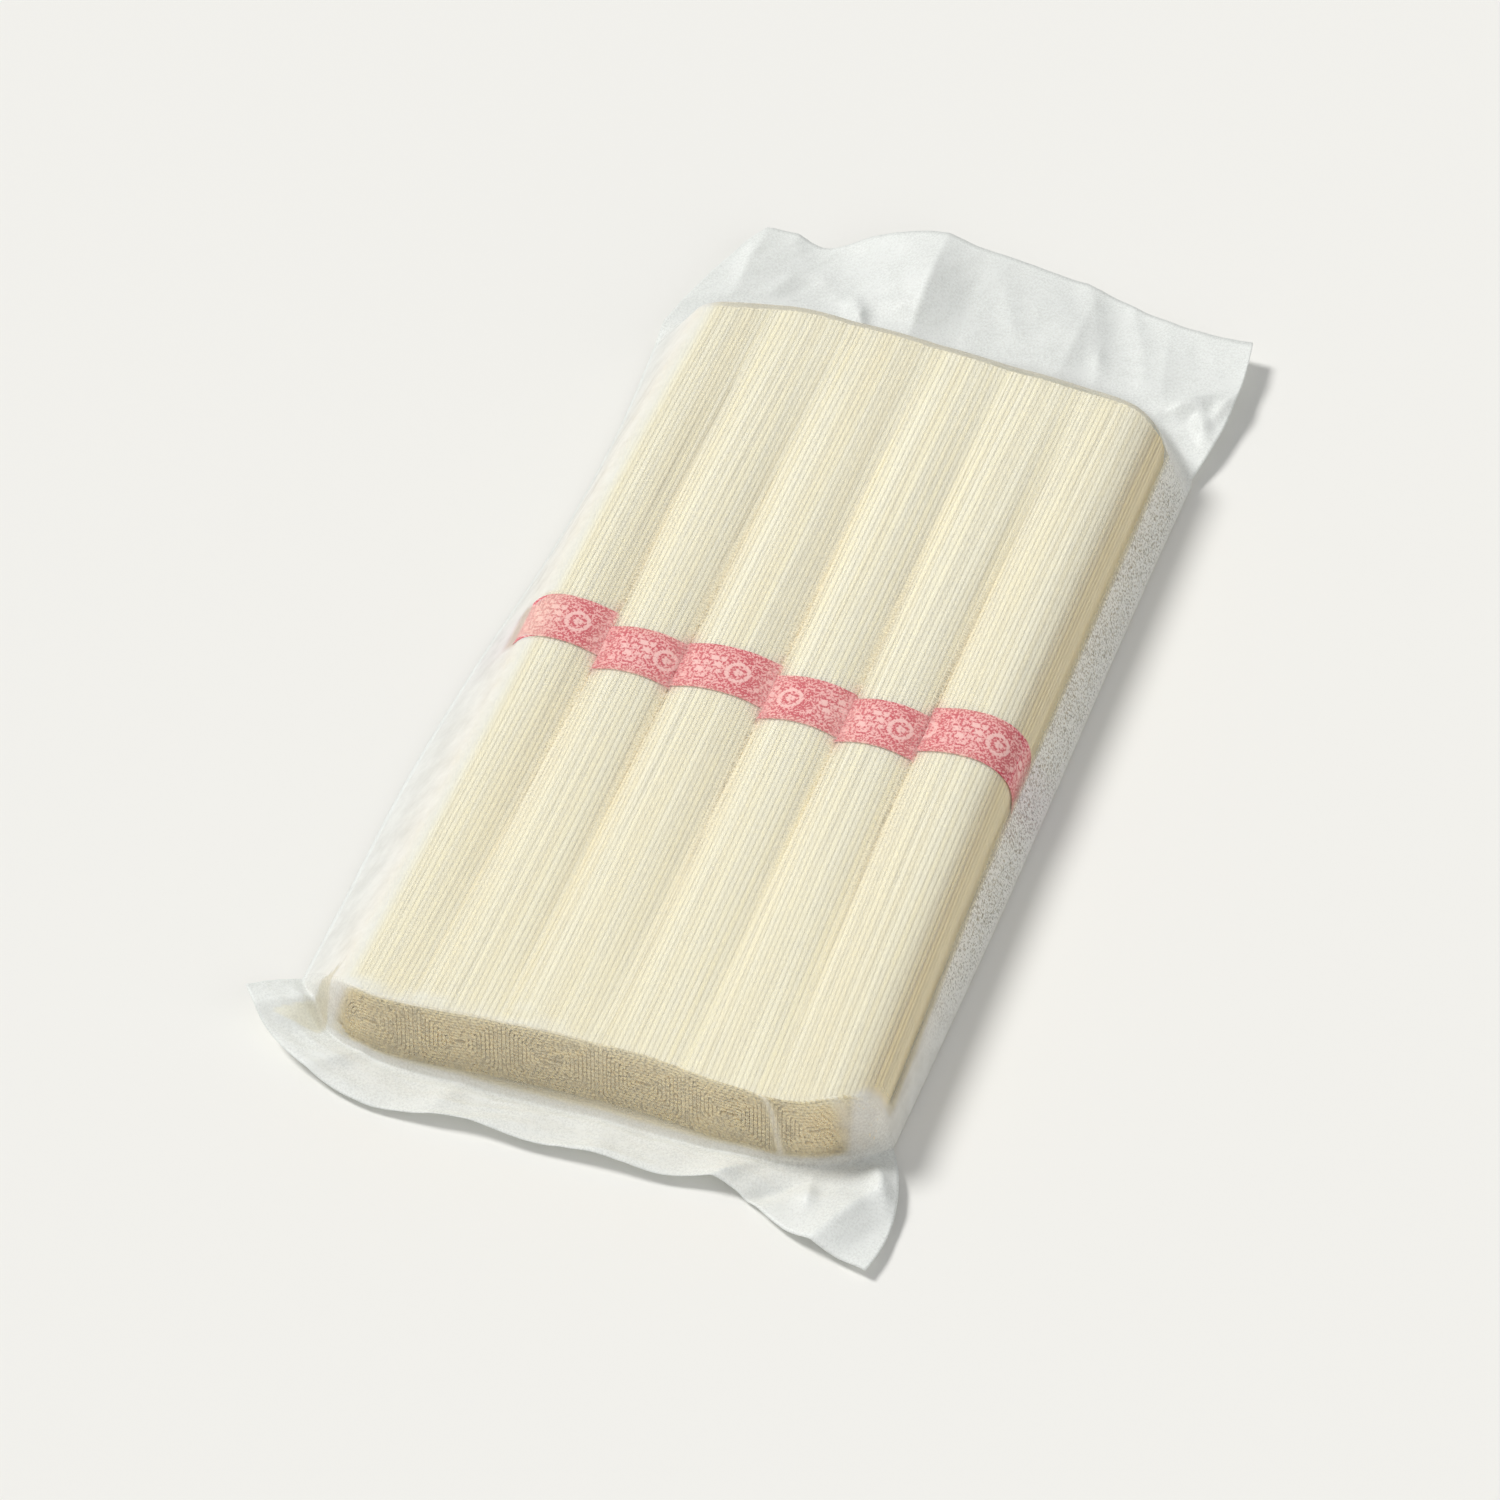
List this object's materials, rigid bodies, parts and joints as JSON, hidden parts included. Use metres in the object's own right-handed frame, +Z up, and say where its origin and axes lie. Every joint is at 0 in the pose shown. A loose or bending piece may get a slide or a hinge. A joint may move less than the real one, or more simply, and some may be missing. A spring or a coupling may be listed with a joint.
{
  "type": "pack of dried noodle bundles",
  "caption": "Flat see-through film pack of thin dried wheat noodles in paper-banded bundles, lying on its back with a short and a long end fin.",
  "frame": {"origin": "under the middle of the whole pack, on the surface that it lies on", "axes": "+Y along the noodles from the short fin to the long one, +Z up out of the lobed face, +X across the bundles"},
  "size_m": [0.13, 0.2586, 0.0189],
  "materials": {
    "noodles": "matt, dry, fine parallel strands",
    "film": "satin, slightly milky see-through film",
    "band_paper": "matt printed paper"
  },
  "bodies": {
    "root": {"noodle_pack": "noodles"}
  },
  "joints": []
}
